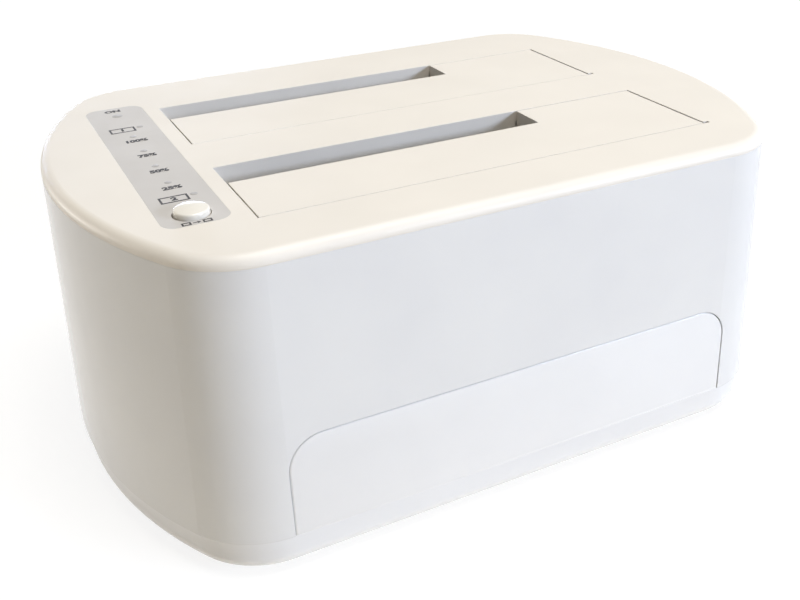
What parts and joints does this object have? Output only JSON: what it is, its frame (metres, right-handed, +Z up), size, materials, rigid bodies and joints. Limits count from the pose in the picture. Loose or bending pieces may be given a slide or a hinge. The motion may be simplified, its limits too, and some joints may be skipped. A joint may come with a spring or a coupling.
{
  "type": "drive duplicator",
  "caption": "Desktop docking box for copying one upright hard drive to another, with hinged bay flaps, a clone button, an indicator strip and rear ports.",
  "frame": {"origin": "on the surface the rubber feet stand on, under the middle of the case", "axes": "+X along the case's long side, to the right seen from the front; +Y from the front face to the rear ports; +Z up"},
  "size_m": [0.162, 0.1124, 0.0708],
  "materials": {
    "cover_plastic": "satin",
    "housing_plastic": "gloss",
    "panel_plastic": "gloss",
    "base_plastic": "satin",
    "foot_rubber": "matte",
    "cage_plastic": "satin",
    "board_laminate": "satin",
    "chip_epoxy": "matte",
    "capacitor_can": "satin",
    "inductor_ferrite": "matte",
    "crystal_can": "satin",
    "usb_shell": "bright",
    "usb_tongue": "satin",
    "jack_plastic": "satin",
    "contact_metal": "bright",
    "switch_plastic": "satin",
    "rocker_plastic": "gloss",
    "label_film": "matte",
    "button_plastic": "gloss",
    "tact_metal": "satin",
    "tact_stem": "satin",
    "guide_acrylic": "clear",
    "led_package": "gloss",
    "header_plastic": "satin",
    "ribbon_vinyl": "satin",
    "screw_steel": "zinc plated",
    "flap_plastic": "satin",
    "pin_steel": "bright",
    "spring_wire": "bright",
    "connector_plastic": "satin"
  },
  "bodies": {
    "case": {"top_cover": "cover_plastic", "main_housing": "housing_plastic", "front_panel": "panel_plastic", "base": "base_plastic", "rubber_feet": "foot_rubber", "drive_cage": "cage_plastic", "main_board": "board_laminate", "control_board": "board_laminate", "bridge_chips": "chip_epoxy", "capacitors": "capacitor_can", "inductors": "inductor_ferrite", "crystal": "crystal_can", "usb_port": "usb_shell", "usb_tongue": "usb_tongue", "dc_jack": "jack_plastic", "dc_jack_pin": "contact_metal", "power_switch": "switch_plastic", "switch_terminals": "contact_metal", "indicator_label": "label_film", "tact_switch": "tact_metal", "light_guide": "guide_acrylic", "status_leds": "led_package", "ribbon_headers": "header_plastic", "board_ribbon": "ribbon_vinyl", "base_screws": "screw_steel", "board_screws": "screw_steel", "cage_screws": "screw_steel", "control_screws": "screw_steel", "hinge_pin_front": "pin_steel", "hinge_pin_rear": "pin_steel", "flap_spring_front": "spring_wire", "flap_spring_rear": "spring_wire", "sata_connector_front": "connector_plastic", "sata_connector_rear": "connector_plastic"},
    "flap_front": {"flap_front": "flap_plastic"},
    "flap_rear": {"flap_rear": "flap_plastic"},
    "clone_button": {"clone_button": "button_plastic", "tact_stem": "tact_stem"},
    "power_rocker": {"power_rocker": "rocker_plastic"}
  },
  "joints": [
    {"name": "flap_front_hinge", "type": "hinge", "parent": "case", "child": "flap_front", "pos_m": [0.0038, -0.04077, 0.0665], "axis": [-1, 0, 0], "range_deg": [0, 92], "stiffness_Nm_per_rad": 0.003, "springref_deg": -51.57, "deforming": ["flap_spring_front"]},
    {"name": "flap_rear_hinge", "type": "hinge", "parent": "case", "child": "flap_rear", "pos_m": [0.0038, 0.00337, 0.0665], "axis": [-1, 0, 0], "range_deg": [0, 92], "stiffness_Nm_per_rad": 0.003, "springref_deg": -51.57, "deforming": ["flap_spring_rear"]},
    {"name": "clone_button_press", "type": "slide", "parent": "case", "child": "clone_button", "axis": [0, 0, -1], "range_m": [0, 0.0008], "stiffness_N_per_m": 250, "springref_m": -0.004},
    {"name": "power_rocker_tilt", "type": "hinge", "parent": "case", "child": "power_rocker", "pos_m": [-0.018, 0.05237, 0.01887], "axis": [0, 0, -1], "range_deg": [0, 18]}
  ]
}
